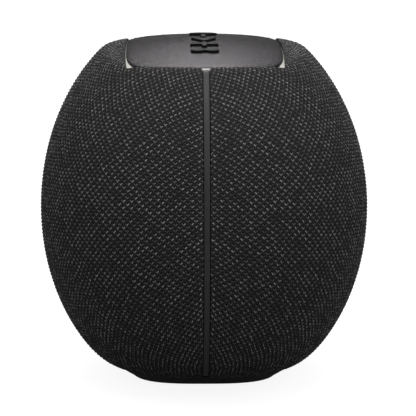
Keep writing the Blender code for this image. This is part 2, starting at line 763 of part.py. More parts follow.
def screw(tip, seat, head):
    """A pan-head screw along Z, with its head above seat and a square drive recess."""
    point = SCREW_RADIUS - SCREW_POINT
    drive = seat + head - SCREW_DRIVE_DEPTH
    profile = [(0, tip), (point, tip), (SCREW_RADIUS, tip + 3 * SCREW_POINT), (SCREW_RADIUS, seat)]
    profile += [(SCREW_HEAD, seat), (SCREW_HEAD - GAP, seat + head - 2 * GAP), (SCREW_CROWN, seat + head)]
    profile += [(SCREW_DRIVE, drive), (0, drive)]
    return turned(profile, SCREW_ROUND)


def foot_screw_places():
    return [(along * FOOT_SCREW_X, across * FOOT_SCREW_Y) for along, across in CORNERS]


def foot_screw_holes(side):
    drill = cylinder(SCREW_RADIUS + GAP, CENTRE_Z - SHELL_BOTTOM - WALL, FOOT_SHANK_TOP)
    return [standing(drill, x, y) for x, y in foot_screw_places() if y * side > 0]


def make_foot(plastic, rubber, steel):
    rim = [(FOOT_BOTTOM, FOOT_LIFT), (FOOT_TOP, FOOT_HEIGHT), (PAD, FOOT_HEIGHT)]
    rim.append((PAD, CENTRE_Z - SHELL_BOTTOM - GAP))
    rings = [[(x, y, height) for x, y in oval(size)] for size, height in rim]
    base = add_part("foot_base", loft(rings), plastic)
    cut(base, prism(oval(PAD, grow=GAP), -PAD_RECESS, PAD_RECESS))
    head_hole = cylinder(*FOOT_HEAD_HOLE)
    shank_hole = cylinder(SCREW_RADIUS + GAP, WALL, FOOT_SCREW_TIP)
    for x, y in foot_screw_places():
        cut(base, standing(head_hole, x, y))
        cut(base, standing(shank_hole, x, y))
    add_part("foot_pad", prism(oval(PAD), 0.0, PAD_THICKNESS), rubber)
    downward = screw(-FOOT_SCREW_TIP, -FOOT_SCREW_SEAT, FOOT_SCREW_HEAD)
    upward = moved(downward, Matrix.Rotation(math.pi, 4, "X"))
    for number, (x, y) in enumerate(foot_screw_places(), 1):
        add_part(f"foot_screw_{number}", standing(upward, x, y), steel)


# Drivers.


def scaled(profile):
    return [(radius * MM, depth * MM) for radius, depth in profile]


def half_roll(inner, outer, depth, outward):
    """Section of a half-round rubber roll between two lips, in millimetres."""
    middle = (inner + outer) / 2
    radius = (outer - inner) / 2 - ROLL_LIP
    turn = [math.pi * step / ROLL_STEPS for step in range(ROLL_STEPS + 1)]
    arches = []
    for size, base in ((radius + ROLL_THICKNESS / 2, ROLL_THICKNESS), (radius - ROLL_THICKNESS / 2, 0.0)):
        arch = [(middle - size * math.cos(a), depth + outward * (base + radius * math.sin(a))) for a in turn]
        arches.append(arch)
    crest = depth + outward * ROLL_THICKNESS
    return [(inner, crest), *arches[0], (outer, crest), (outer, depth), *reversed(arches[1]), (inner, depth)]


def add_turned(name, profile, look, segments=ROUND, x=0.0, origin=(0, 0, 0)):
    add_part(name, along_y(turned(scaled(profile), segments), x), look, origin)


def make_woofer(steel, ferrite, paper, rubber, copper):
    origin = (0, WOOFER_ORIGIN_Y, CENTRE_Z)
    add_turned("woofer_basket", BASKET, steel)
    add_turned("woofer_magnet", MAGNET, ferrite)
    add_turned("woofer_surround", half_roll(**WOOFER_ROLL), rubber)
    add_turned("woofer_spider", SPIDER, paper)
    add_turned("woofer_cone", CONE, paper, origin=origin)
    add_turned("woofer_dust_cap", DUST_CAP, rubber, origin=origin)
    add_turned("woofer_voice_coil", VOICE_COIL, copper, origin=origin)


def make_tweeters(plastic, silk):
    for x, where in ((-TWEETER_X, "left"), (TWEETER_X, "right")):
        origin = (x, TWEETER_ORIGIN_Y, CENTRE_Z)
        add_turned(f"tweeter_body_{where}", TWEETER_BODY, plastic, MEDIUM_ROUND, x)
        add_turned(f"tweeter_dome_{where}", TWEETER_DOME, silk, MEDIUM_ROUND, x, origin)


def make_radiator(plastic, rubber, paper):
    add_turned("radiator_frame", RADIATOR_FRAME, plastic)
    add_turned("radiator_surround", half_roll(**RADIATOR_ROLL), rubber)
    add_turned("radiator_plate", RADIATOR_PLATE, paper, origin=(0, RADIATOR_ORIGIN_Y, CENTRE_Z))


# Battery, boards and leads.


def make_battery(plastic, wrap):
    cradle = add_part("battery_cradle", lifted(block(CRADLE_X, CRADLE_Y, *CRADLE_RISES)), plastic)
    can = turned(scaled(CELL), MEDIUM_ROUND)
    room = cylinder(CELL_RADIUS + GAP, -CRADLE_X - WALL, CRADLE_X + WALL, MEDIUM_ROUND)
    for number, y in enumerate((-CELL_Y, CELL_Y), 1):
        across = Matrix.Translation((0, y, CENTRE_Z + CELL_RISE)) @ Matrix.Rotation(math.pi / 2, 4, "Y")
        add_part(f"battery_cell_{number}", moved(can, across), wrap)
        cut(cradle, moved(room, across))


def make_main_board(green, alloy):
    board = add_part("main_board", along_y(block(BOARD_X, BOARD_Z, *BOARD_DEPTHS)), green)
    places = [(along * BOARD_POST_X, up * BOARD_POST_Z) for along, up in CORNERS]
    drill = cylinder(BOARD_HOLE, BOARD_DEPTHS[0] - WALL, BOARD_DEPTHS[1] + WALL)
    post = cylinder(BOARD_POST_RADIUS, BOARD_POST_DEPTH, BAFFLE - BOSS_SHORT)
    cut(board, *(along_y(drill, x, rise) for x, rise in places))
    join(bpy.data.objects["rear_shell"], *(along_y(post, x, rise) for x, rise in places))
    base, web, tip = SINK_DEPTHS
    fins = [(-SINK_HALF_X, base)]
    for step in range(FIN_COUNT):
        left = step * FIN_PITCH - SINK_HALF_X
        fins += [(left, tip), (left + FIN_THICKNESS, tip)]
        if step < FIN_COUNT - 1:
            fins += [(left + FIN_THICKNESS, web), (left + FIN_PITCH, web)]
    fins.append((SINK_HALF_X, base))
    add_part("heat_sink", lifted(prism(fins, -SINK_HALF_Z, SINK_HALF_Z)), alloy)


def socket_placed(solid):
    """Moves a solid made about Z so that +Z points straight out of the body at the socket."""
    place = Matrix.Translation((0, SOCKET_DEPTH_Y, CENTRE_Z + SOCKET_RISE))
    return moved(solid, place @ Matrix.Rotation(-math.pi / 2 + SOCKET_TILT, 4, "X"))


def socket_outline(half_x, half_y):
    """A rectangle with round ends."""
    outline = []
    for side in (1, -1):
        for step in range(SOCKET_STEPS + 1):
            angle = -math.pi / 2 + math.pi * step / SOCKET_STEPS
            x = side * (half_x - half_y + half_y * math.cos(angle))
            outline.append((x, side * half_y * math.sin(angle)))
    return outline


def socket_block(half, low, high):
    return socket_placed(prism(socket_outline(*half), low, high))


def socket_hole(depth):
    """The plate's way through the body's layers, from this depth outwards."""
    grown = [half + GAP for half in SOCKET_PLATE]
    return socket_block(grown, depth, SOCKET_THROUGH)


def make_socket(plastic, steel, green):
    outside = SOCKET_THROUGH
    plate = add_part("socket_plate", socket_block(SOCKET_PLATE, *SOCKET_PLATE_RISES), plastic)
    cut(plate, socket_block(SOCKET_WINDOW, -outside, outside))
    shell = add_part("charge_socket", socket_block(SOCKET_SHELL, SOCKET_BACK, 0.0), steel)
    cut(shell, socket_block(SOCKET_HOLLOW, SOCKET_FLOOR, outside))
    join(shell, socket_placed(block(*SOCKET_TONGUE, *SOCKET_TONGUE_RISES)))
    add_part("socket_board", socket_placed(block(*SOCKET_BOARD, *SOCKET_BOARD_RISES)), green)


def in_body(route):
    """Route points given in millimetres from the body's centre."""
    return [(x * MM, y * MM, CENTRE_Z + z * MM) for x, y, z in route]


def make_leads(red, black):
    add_lead("woofer_lead", in_body(WOOFER_ROUTE), LEAD, red)
    for side, where in ((-1, "left"), (1, "right")):
        route = [(side * x, y, z) for x, y, z in TWEETER_ROUTE]
        add_lead(f"tweeter_lead_{where}", in_body(route), THIN_LEAD, black)
    add_lead("battery_lead", in_body(BATTERY_ROUTE), THICK_LEAD, red)
    add_lead("key_lead", in_body(KEY_ROUTE), LEAD, black)
    add_lead("socket_lead", in_body(SOCKET_ROUTE), LEAD, black)


def main():
    for old in list(bpy.data.objects):
        bpy.data.objects.remove(old)
    knit = material("knit_fabric", (0.035, 0.035, 0.036), 0.9)
    frame = material("frame_plastic", (0.02, 0.02, 0.02), 0.6)
    strip = material("strip_plastic", (0.05, 0.05, 0.05), 0.5)
    metal = material("panel_metal", (0.09, 0.088, 0.092), 0.4, 0.8)
    pale = material("trim_plastic", (0.4, 0.37, 0.33), 0.5)
    rubber = material("black_rubber", (0.012, 0.012, 0.012), 0.7)
    paper = material("cone_paper", (0.03, 0.03, 0.03), 0.8)
    steel = material("zinc_steel", (0.45, 0.45, 0.46), 0.35, 1.0)
    ferrite = material("ferrite", (0.05, 0.05, 0.055), 0.5, 0.3)
    copper = material("coil_copper", (0.6, 0.28, 0.14), 0.4, 1.0)
    green = material("board_green", (0.02, 0.11, 0.05), 0.5)
    alloy = material("fin_alloy", (0.6, 0.6, 0.62), 0.4, 1.0)
    wrap = material("cell_wrap", (0.03, 0.1, 0.32), 0.45)
    red = material("lead_red", (0.45, 0.03, 0.02), 0.5)
    make_covers(knit, frame)
    make_strips(strip)
    make_panel(metal, pale)
    make_keys(rubber, green)
    make_enclosure(frame, rubber, steel)
    make_foot(frame, rubber, steel)
    make_woofer(steel, ferrite, paper, rubber, copper)
    make_tweeters(frame, paper)
    make_radiator(frame, rubber, paper)
    make_battery(frame, wrap)
    make_main_board(green, alloy)
    make_socket(frame, steel, green)
    make_leads(red, rubber)


main()
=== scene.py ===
"""Looks of a knit-covered portable speaker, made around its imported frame. Metres, +Z up, front at -Y."""

import math

import bpy
import numpy as np
from mathutils import Matrix, Vector


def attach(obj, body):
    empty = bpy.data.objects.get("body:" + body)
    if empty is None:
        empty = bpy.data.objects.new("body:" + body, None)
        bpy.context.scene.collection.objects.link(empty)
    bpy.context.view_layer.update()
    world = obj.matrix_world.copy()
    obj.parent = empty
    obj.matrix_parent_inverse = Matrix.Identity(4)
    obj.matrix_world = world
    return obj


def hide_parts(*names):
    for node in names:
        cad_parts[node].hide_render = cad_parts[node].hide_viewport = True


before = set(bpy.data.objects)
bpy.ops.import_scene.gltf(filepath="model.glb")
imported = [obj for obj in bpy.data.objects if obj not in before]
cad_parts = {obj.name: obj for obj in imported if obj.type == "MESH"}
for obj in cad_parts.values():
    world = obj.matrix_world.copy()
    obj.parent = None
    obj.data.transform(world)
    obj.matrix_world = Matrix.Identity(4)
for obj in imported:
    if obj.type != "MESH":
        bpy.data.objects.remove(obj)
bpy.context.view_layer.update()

MM = 0.001
GAP = 0.3 * MM

# The body's form, as the covers have it.
CENTRE_Z = 77.5 * MM
HALF_X = 105.5 * MM
HALF_Y = 74.7 * MM
HALF_Z = 90.3 * MM
ROUND_YZ = 2.02
ROUND_X = 2.2
ROUND_X_GAIN = 0.35
CROWN = 75.7 * MM
CROWN_BEND_X = 0.85
CROWN_BEND_Y = 1.9
UNDERSIDE = 76.2 * MM
UNDERSIDE_BEND_X = 1.8
UNDERSIDE_BEND_Y = 0.3
SHOULDER_SHARPNESS = 150.0
HEM_SHARPNESS = 20.0
LEVEL_BAND = 0.05
SEAM_HALF = 1.8 * MM

# The panel's opening, and what lies in it.
OPENING = {"length": 70.0 * MM, "width": 36.0 * MM, "end_sag": 13.5 * MM, "side_sag": 1.2 * MM}
OPENING_CORNER = 140.0
PANEL_CORNER = 10.0
PANEL_MARGIN = 0.5 * MM
PANEL_THICKNESS = 1.4 * MM
PANEL_BEND_Y = 2.2
PANEL_EDGE = ((0.55 * MM, 0.0), (0.22 * MM, 0.06 * MM), (0.06 * MM, 0.2 * MM), (0.0, 0.45 * MM))
PANEL_TOP_SHARES = (0.02, 0.2, 0.4, 0.6, 0.8, 0.93)
PANEL_CUT = (CENTRE_Z + 60 * MM, CENTRE_Z + 80 * MM)
RIM_DEPTH = 0.75 * MM
TAB_HALF = 3.4 * MM
TAB_REACH = 2.2 * MM
TAB_DROP = 0.4 * MM
TAB_BEVEL = 0.3 * MM
TAB_ROOT = 2.4 * MM

# Keys.
KEYS = ("power_key", "volume_down_key", "play_key", "volume_up_key", "pairing_key")
KEY_PITCH = 17.5 * MM
KEY_PROUD = 1.0 * MM
KEY_REACH = 6.4 * MM
KEY_FOOT = 7.6 * MM
KEY_FOOT_RISE = 71.4 * MM
KEY_LINE = 2.1 * MM

# Seam strip, foot and socket.
STRIP_HALF = 1.5 * MM
STRIP_OUTSIDE = 0.5 * MM
STRIP_INSIDE = 3.0 * MM
FOOT_TOP = {"length": 41.5 * MM, "width": 39.2 * MM}
FOOT_BOTTOM = {"length": 36.5 * MM, "width": 33.6 * MM}
PAD = {"length": 31.0 * MM, "width": 26.8 * MM}
FOOT_LIFT = 0.5 * MM
FOOT_HEIGHT = 5.2 * MM
FOOT_NECK = CENTRE_Z - 64.0 * MM - GAP
SOCKET_HALF = (11.0 * MM, 5.5 * MM)
SOCKET_PLACE = Vector((0, 54.6 * MM, CENTRE_Z - 62.0 * MM))
SOCKET_TURN = math.radians(-128.0)

# Knit: rows of V-shaped stitches, each row shifted by half a stitch, drawn tight over the form.
STITCH_WIDTH = 3.72 * MM
ROW_HEIGHT = 1.65 * MM
ROW_TILT = 0.12
WALE_SPREAD = 30.0
LEG_FOOT = (0.0, -0.48 * MM)
LEG_TIP = (0.60 * MM, 0.40 * MM)
LEG_HALF = 0.40 * MM
HOLE_PLACE = (0.0, 0.50 * MM)
HOLE_HALF = (0.42 * MM, 0.40 * MM)
LEG_HEIGHT = 0.34 * MM
RIB_HEIGHT = 0.34 * MM
HOLE_DEPTH = 0.40 * MM
KNIT_INSET = 0.15 * MM
EDGE_RISE = 3.0 * MM
HEM_TURN = ((0.2 * MM, 0.25 * MM), (0.2 * MM, 0.9 * MM), (0.0, 2.2 * MM))
CORNER_ROUND = 2.6 * MM
EDGE_ROUNDS = 8
STITCH_QUADS = 6
ROW_QUADS = 3


# The body's surface. Directions may be numbers or arrays.


def dome_rise(x, y, bend_y=CROWN_BEND_Y):
    """Height of the domed top over the body's centre."""
    return CROWN - CROWN_BEND_X * x * x - bend_y * y * y


def bowed_reach(level, bend, rise):
    """Distance along a ray to a bowed face that is level from the centre and bends back towards it."""
    return 2 * level / (rise + np.sqrt(rise * rise + 4 * bend * level))


def softened(reach, limit, sharpness):
    """The smaller of two distances, with a smooth change from one to the other."""
    return reach * (1 + (reach / limit) ** sharpness) ** (-1 / sharpness)


def body_reach(x, y, z, inset=0.0):
    """Distance from the centre of a half body to its surface along a unit direction."""
    round_x = ROUND_X + ROUND_X_GAIN * z
    middle = (abs(y) / (HALF_Y - SEAM_HALF - inset)) ** ROUND_YZ + (abs(z) / (HALF_Z - inset)) ** ROUND_YZ
    egg = ((abs(x) / (HALF_X - inset)) ** round_x + middle ** (round_x / ROUND_YZ)) ** (-1 / round_x)
    crown_bend = CROWN_BEND_X * x * x + CROWN_BEND_Y * y * y
    crown = bowed_reach(CROWN - inset, crown_bend, np.maximum(z, LEVEL_BAND))
    floor_bend = UNDERSIDE_BEND_X * x * x + UNDERSIDE_BEND_Y * y * y
    floor = bowed_reach(UNDERSIDE - inset, floor_bend, np.maximum(-z, LEVEL_BAND))
    above = softened(egg, crown, SHOULDER_SHARPNESS)
    below = softened(egg, floor, HEM_SHARPNESS)
    return np.where(z > LEVEL_BAND, above, np.where(z < -LEVEL_BAND, below, egg))


def arc_reach(along, across, half_length, half_width, sag):
    """Distance along a ray to the line x = half_length - sag * (y / half_width) ** 2."""
    bend = sag * (across / half_width) ** 2
    return 2 * half_length / (along + np.sqrt(along * along + 4 * bend * half_length))


def cushion_reach(angle, margin, corner, seam=0.0):
    """Distance to a four-sided outline with bowed sides, whose corners are sharper as corner grows."""
    length = OPENING["length"] - margin
    width = OPENING["width"] - margin
    along = abs(np.cos(angle))
    across = abs(np.sin(angle))
    end = arc_reach(along, across, length, width, OPENING["end_sag"])
    side = arc_reach(across, along, width - seam, length, OPENING["side_sag"])
    return end * (1 + (end / side) ** corner) ** (-1 / corner)


def oval_reach(angle, size, grow=0.0, seam=0.0):
    """Distance to the foot's outline, an oval with full corners."""
    along = abs(np.cos(angle)) / (size["length"] + grow)
    across = abs(np.sin(angle)) / (size["width"] + grow - seam)
    return (along**3 + across**3) ** (-1 / 3)


# Meshes.


def add_piece(name, points, faces, look, body="housing", smooth_angle=35.0):
    mesh = bpy.data.meshes.new(name)
    mesh.from_pydata([tuple(point) for point in points], [], [tuple(face) for face in faces])
    mesh.shade_smooth()
    mesh.set_sharp_from_angle(angle=math.radians(smooth_angle))
    mesh.materials.append(look)
    piece = bpy.data.objects.new(name, mesh)
    bpy.context.scene.collection.objects.link(piece)
    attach(piece, body)
    return piece


def loft(rings, closed=False):
    """Skin over rings of equal length, which ends in flat caps or in its own start."""
    count = len(rings[0])
    points = [point for ring in rings for point in ring]
    faces = []
    for row in range(len(rings) if closed else len(rings) - 1):
        low = row * count
        high = (row + 1) % len(rings) * count
        for index in range(count):
            after = (index + 1) % count
            faces.append((low + index, low + after, high + after, high + index))
    if not closed:
        faces.append(tuple(reversed(range(count))))
        faces.append(tuple((len(rings) - 1) * count + index for index in range(count)))
    return points, faces


def merged(*solids):
    points = []
    faces = []
    for solid_points, solid_faces in solids:
        faces += [tuple(len(points) + index for index in face) for face in solid_faces]
        points += solid_points
    return points, faces


def turns(count):
    return [math.tau * step / count for step in range(count)]


# Knitted covers.


class Meridians:
    """Lines over a half body from its pole, the middle of the front or the back, measured by arc length."""

    TURNS = 720
    SLOPES = 400
    ARCS = 400
    ARC_END = 165 * MM

    def __init__(self):
        turn = np.linspace(0, math.tau, self.TURNS + 1)[:, None]
        slope = np.linspace(0, math.radians(100), self.SLOPES + 1)[None, :]
        points = self.points(turn, slope)
        steps = np.linalg.norm(np.diff(points, axis=1), axis=-1)
        arcs = np.concatenate([np.zeros((self.TURNS + 1, 1)), np.cumsum(steps, axis=1)], axis=1)
        even = np.linspace(0, self.ARC_END, self.ARCS + 1)
        self.slopes = np.array([np.interp(even, arc, slope[0]) for arc in arcs])

    @staticmethod
    def points(turn, slope):
        x = np.sin(slope) * np.cos(turn)
        y = np.cos(slope) + 0 * turn
        z = np.sin(slope) * np.sin(turn)
        reach = body_reach(x, y, z)
        return np.stack([reach * x, reach * y, reach * z], axis=-1)

    def place(self, u, v):
        """Points of the flat cloth laid on the half body, with y outwards from the seam plane."""
        turn = np.arctan2(v, u) % math.tau
        column = np.minimum(turn / math.tau * self.TURNS, self.TURNS - 1e-6)
        row = np.minimum(np.hypot(u, v) / self.ARC_END * self.ARCS, self.ARCS - 1e-6)
        left, low = column.astype(int), row.astype(int)
        across, up = column - left, row - low
        near = self.slopes[left, low] * (1 - up) + self.slopes[left, low + 1] * up
        far = self.slopes[left + 1, low] * (1 - up) + self.slopes[left + 1, low + 1] * up
        return self.points(turn, near * (1 - across) + far * across)


MERIDIANS = Meridians()


def rounded_corner(first, second):
    """Distance inside two edges whose corner is rounded."""
    inside = np.minimum(first, second)
    corner = CORNER_ROUND - np.hypot(CORNER_ROUND - first, CORNER_ROUND - second)
    return np.where((first < CORNER_ROUND) & (second < CORNER_ROUND), corner, inside)


def socket_frame(points, side):
    """Points of a half body as (x, y, z) in the socket's frame, whose +Z points out."""
    world = points * [1, side, 1] + [0, side * SEAM_HALF, CENTRE_Z]
    turn = np.array(Matrix.Rotation(SOCKET_TURN, 3, "X"))
    return (world - np.array(SOCKET_PLACE)) @ turn


def cloth_margin(points, side):
    """Distance inside the cloth's edge: the seam, the panel's opening, the foot's and the socket's."""
    x, y, z = np.moveaxis(points, -1, 0)
    angle = np.arctan2(y, x)
    plan = np.hypot(x, y)
    opening = plan - cushion_reach(angle, 0.0, OPENING_CORNER, SEAM_HALF)
    foot = plan - oval_reach(angle, FOOT_TOP, seam=SEAM_HALF) - 2 * GAP
    margin = rounded_corner(y, np.where(z > 0, opening, foot))
    if side > 0:
        across, up, _ = np.moveaxis(socket_frame(points, side), -1, 0)
        half, end = (size + GAP for size in SOCKET_HALF)
        socket = np.hypot(np.maximum(abs(across) - (half - end), 0), up) - end
        margin = np.minimum(margin, np.where(z < 0, socket, margin))
    return margin


def drift(u, v, seed, waves=14):
    """Slow wander of the stitches, about one unit high."""
    random = np.random.default_rng(seed)
    total = 0.0
    for _ in range(waves):
        angle, phase = random.uniform(0, math.tau, 2)
        length = random.uniform(7, 30) * MM
        total = total + np.sin(math.tau * (u * np.cos(angle) + v * np.sin(angle)) / length + phase)
    return total / math.sqrt(waves)


def stitch_relief(across, rows):
    """Height of the knit over its ground, from the count of stitches across and of rows up."""
    own_row = np.floor(rows)
    relief = np.zeros_like(rows)
    holes = np.zeros_like(rows)
    foot = np.array(LEG_FOOT)
    leg = np.array(LEG_TIP) - foot
    for offset in (-1, 0, 1):
        row = own_row + offset
        x = abs((across + 0.5 * (row % 2)) % 1 - 0.5) * STITCH_WIDTH
        y = (rows - row - 0.5) * ROW_HEIGHT
        along = np.clip(((x - foot[0]) * leg[0] + (y - foot[1]) * leg[1]) / (leg @ leg), 0, 1)
        away = np.hypot(x - foot[0] - along * leg[0], y - foot[1] - along * leg[1])
        relief = np.maximum(relief, np.exp(-((away / LEG_HALF) ** 2)))
        hole = ((x - HOLE_PLACE[0]) / HOLE_HALF[0]) ** 2 + ((y - HOLE_PLACE[1]) / HOLE_HALF[1]) ** 2
        holes = np.maximum(holes, np.exp(-hole))
    rib = 0.5 - 0.5 * np.cos(math.tau * (rows - own_row))
    return LEG_HEIGHT * relief + RIB_HEIGHT * rib - HOLE_DEPTH * holes


def open_edges(faces):
    """Directed edges that only one face uses."""
    edges = np.concatenate([np.roll(faces, -step, axis=1)[:, :2] for step in range(4)])
    _, first, uses = np.unique(np.sort(edges, axis=1), axis=0, return_index=True, return_counts=True)
    return edges[first[uses == 1]]


def pulled_to_edge(u, v, side, step=0.02 * MM):
    """Moves points of the flat cloth onto its edge."""
    for _ in range(6):
        here = cloth_margin(MERIDIANS.place(u, v), side)
        slope_u = (cloth_margin(MERIDIANS.place(u + step, v), side) - here) / step
        slope_v = (cloth_margin(MERIDIANS.place(u, v + step), side) - here) / step
        steep = np.maximum(slope_u**2 + slope_v**2, 0.05)
        u = u - here * slope_u / steep
        v = v - here * slope_v / steep
    return u, v


def edge_direction(u, v, side, step=0.05 * MM):
    """Unit directions on the body that point off the cloth's edge."""
    here = MERIDIANS.place(u, v)
    margin = cloth_margin(here, side)
    along_u = MERIDIANS.place(u + step, v)
    along_v = MERIDIANS.place(u, v + step)
    slope_u = (cloth_margin(along_u, side) - margin)[:, None]
    slope_v = (cloth_margin(along_v, side) - margin)[:, None]
    off = slope_u * (here - along_u) + slope_v * (here - along_v)
    return off / np.maximum(np.linalg.norm(off, axis=1), 1e-15)[:, None]


def cloth_grid(side):
    """Flat coordinates and faces of a grid along the stitches, cut to the cloth's outline."""
    columns = math.ceil(150 * MM / STITCH_WIDTH) * STITCH_QUADS
    rows = math.ceil(125 * MM / ROW_HEIGHT) * ROW_QUADS
    u = np.arange(-columns, columns + 1) * (STITCH_WIDTH / STITCH_QUADS)
    v = np.arange(-rows, rows + 1) * (ROW_HEIGHT / ROW_QUADS)
    u, v = (grid.ravel() for grid in np.meshgrid(u, v))
    index = np.arange(u.size).reshape(2 * rows + 1, 2 * columns + 1)
    corners = [index[:-1, :-1], index[:-1, 1:], index[1:, 1:], index[1:, :-1]]
    faces = np.stack([corner.ravel() for corner in corners], axis=1)
    middle = cloth_margin(MERIDIANS.place(u[faces].mean(axis=1), v[faces].mean(axis=1)), side)
    used, faces = np.unique(faces[middle > 0], return_inverse=True)
    return u[used], v[used], faces.reshape(-1, 4)


def make_knit(name, side, replaced, look):
    u, v, faces = cloth_grid(side)
    if side > 0:
        faces = faces[:, ::-1]
    edges = open_edges(faces)
    rim = np.unique(edges)
    u[rim], v[rim] = pulled_to_edge(u[rim], v[rim], side)
    step = 0.2 * MM
    points = MERIDIANS.place(u, v)
    along = MERIDIANS.place(u + step, v) - MERIDIANS.place(u - step, v)
    up = MERIDIANS.place(u, v + step) - MERIDIANS.place(u, v - step)
    outward = -np.cross(along, up)
    outward /= np.maximum(np.linalg.norm(outward, axis=1), 1e-12)[:, None]
    across = u * (1 + WALE_SPREAD * v * v) / STITCH_WIDTH + 0.10 * drift(u, v, 3)
    rows = (v - ROW_TILT * u) / ROW_HEIGHT + 0.13 * drift(u, v, 4)
    inner = np.clip(cloth_margin(points, side) / EDGE_RISE, 0, 1)
    height = stitch_relief(across, rows) * (0.35 + 0.65 * inner) - KNIT_INSET * inner
    off_edge = edge_direction(u[rim], v[rim], side)
    tucks = [points[rim] + out * off_edge - down * outward[rim] for out, down in HEM_TURN]
    below = np.full((len(HEM_TURN) + 1, len(u)), -1)
    below[0] = np.arange(len(u))
    for number in range(len(HEM_TURN)):
        below[number + 1, rim] = len(u) + number * len(rim) + np.arange(len(rim))
    start, end = edges.T
    hems = []
    for high, low in zip(below, below[1:]):
        hems.append(np.stack([high[end], high[start], low[start], low[end]], axis=1))
    points = np.concatenate([points + height[:, None] * outward, *tucks])
    world = points * [1, side, 1] + [0, side * SEAM_HALF, CENTRE_Z]
    flat = np.stack([across, rows], axis=1)
    flat = np.concatenate([flat, *[flat[rim]] * len(HEM_TURN)])
    all_faces = np.concatenate([faces, *hems])
    piece = add_piece(name, world.tolist(), all_faces.tolist(), look, smooth_angle=180.0)
    layer = piece.data.uv_layers.new(name="stitches")
    layer.data.foreach_set("uv", flat[all_faces.ravel()].astype(np.float32).ravel())
    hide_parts(replaced)
    return piece


# Panel, trim, keys.


def plate_ring(margin, corner, drop, share=1.0, count=240):
    """A ring that follows the panel's outline, on the dome moved down by drop."""
    ring = []
    for angle in turns(count):
        reach = cushion_reach(angle, margin, corner) * share
        x, y = reach * math.cos(angle), reach * math.sin(angle)
        ring.append((x, y, CENTRE_Z + dome_rise(x, y, PANEL_BEND_Y) - drop))
    return ring


def prism(outline, low, high):
    return loft([[(x, y, height) for x, y in outline] for height in (low, high)])


def cut_through(piece, solid):
    """Cuts a solid from a piece."""
    mesh = bpy.data.meshes.new("cutter")
    mesh.from_pydata(solid[0], [], solid[1])
    tool = bpy.data.objects.new("cutter", mesh)
    bpy.context.scene.collection.objects.link(tool)
    step = piece.modifiers.new("cut", "BOOLEAN")
    step.operation = "DIFFERENCE"
    step.object = tool
    apply_modifiers(piece)
    bpy.data.objects.remove(tool)


def apply_modifiers(piece):
    graph = bpy.context.evaluated_depsgraph_get()
    mesh = bpy.data.meshes.new_from_object(piece.evaluated_get(graph))
    piece.modifiers.clear()
    piece.data = mesh


def make_panel(look):
    edge = [*PANEL_EDGE, (0.0, PANEL_THICKNESS)]
    rings = [plate_ring(PANEL_MARGIN, PANEL_CORNER, 0.0, share) for share in PANEL_TOP_SHARES]
    rings += [plate_ring(PANEL_MARGIN + inward, PANEL_CORNER, drop) for inward, drop in edge]
    rings += [plate_ring(PANEL_MARGIN, PANEL_CORNER, PANEL_THICKNESS, share) for share in (0.7, 0.3)]
    points, faces = loft([ring[::-1] for ring in rings])
    panel = add_piece("key_panel", points, faces, look)
    for index, name in enumerate(KEYS):
        x = (index - 2) * KEY_PITCH
        for outline in key_outlines(name, GAP):
            shifted = [(x + px, py) for px, py in outline]
            cut_through(panel, prism(shifted, *PANEL_CUT))
    panel.data.shade_smooth()
    panel.data.set_sharp_from_angle(angle=math.radians(40))
    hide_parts("top_panel")


def seam_tab(direction):
    """A tongue of the trim that fills the notch between the two cloths, at one end of the seam."""
    end = OPENING["length"] + TAB_REACH - GAP
    start = OPENING["length"] - GAP
    section = [(start, TAB_DROP), (end - TAB_BEVEL, TAB_DROP), (end, TAB_DROP + TAB_BEVEL)]
    section += [(end, TAB_ROOT), (start, TAB_ROOT)]
    rings = []
    for across in (-TAB_HALF, -TAB_HALF / 2, 0.0, TAB_HALF / 2, TAB_HALF):
        ring = []
        for x, drop in section:
            ring.append((direction * x, across, CENTRE_Z + dome_rise(x, across) - drop))
        rings.append(ring if direction > 0 else ring[::-1])
    return loft(rings)


def make_trim(look):
    """The pale frame that the panel lies in: a rim between the cloth and the metal, over a floor."""
    rim = [(0.25, 1.4), (0.25, 0.7), (0.45, RIM_DEPTH / MM), (1.1, RIM_DEPTH / MM), (2.4, 0.9), (2.6, 1.75)]
    rings = [plate_ring(margin * MM, OPENING_CORNER, drop * MM) for margin, drop in rim]
    floor_drop = 1.75 * MM
    rings += [plate_ring(2.6 * MM, OPENING_CORNER, floor_drop, share) for share in (0.9, 0.72)]
    bottom = 2.9 * MM
    rings += [plate_ring(2.6 * MM, OPENING_CORNER, bottom, share) for share in (0.72, 0.9)]
    rings.append(plate_ring(0.8 * MM, OPENING_CORNER, bottom))
    rings.append(plate_ring(0.25 * MM, OPENING_CORNER, 2.4 * MM))
    solids = [loft([ring[::-1] for ring in rings], closed=True)]
    solids += [seam_tab(direction) for direction in (-1, 1)]
    trim = add_piece("panel_frame", *merged(*solids), look)
    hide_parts("panel_trim")


def rectangle(half_x, half_y, x=0.0, y=0.0):
    left, right = x - half_x, x + half_x
    near, far = y - half_y, y + half_y
    return [(left, near), (right, near), (right, far), (left, far)]


def cross(reach, half_line):
    corners = []
    for quarter in range(4):
        turn = Matrix.Rotation(quarter * math.pi / 2, 2)
        for corner in ((half_line, -half_line), (reach, -half_line), (reach, half_line)):
            corners.append(tuple(turn @ Vector(corner)))
    return corners


def arrowhead(reach, grow):
    """A triangle pointing along +X, moved outwards by grow."""
    back = -0.75 * reach - grow
    half = 0.88 * reach + 1.9 * grow
    return [(back, -half), (reach + 1.9 * grow, 0), (back, half)]


def linked_discs(reach, grow, steps=28):
    """The outline round two discs that touch, one behind the other along Y."""
    radius = reach / 2 + grow
    waist = math.radians(30)
    outline = []
    for side in (-1, 1):
        for step in range(steps + 1):
            angle = waist + (math.tau - 2 * waist) * step / steps - side * math.pi / 2
            outline.append((radius * math.cos(angle), side * reach / 2 + radius * math.sin(angle)))
    return outline


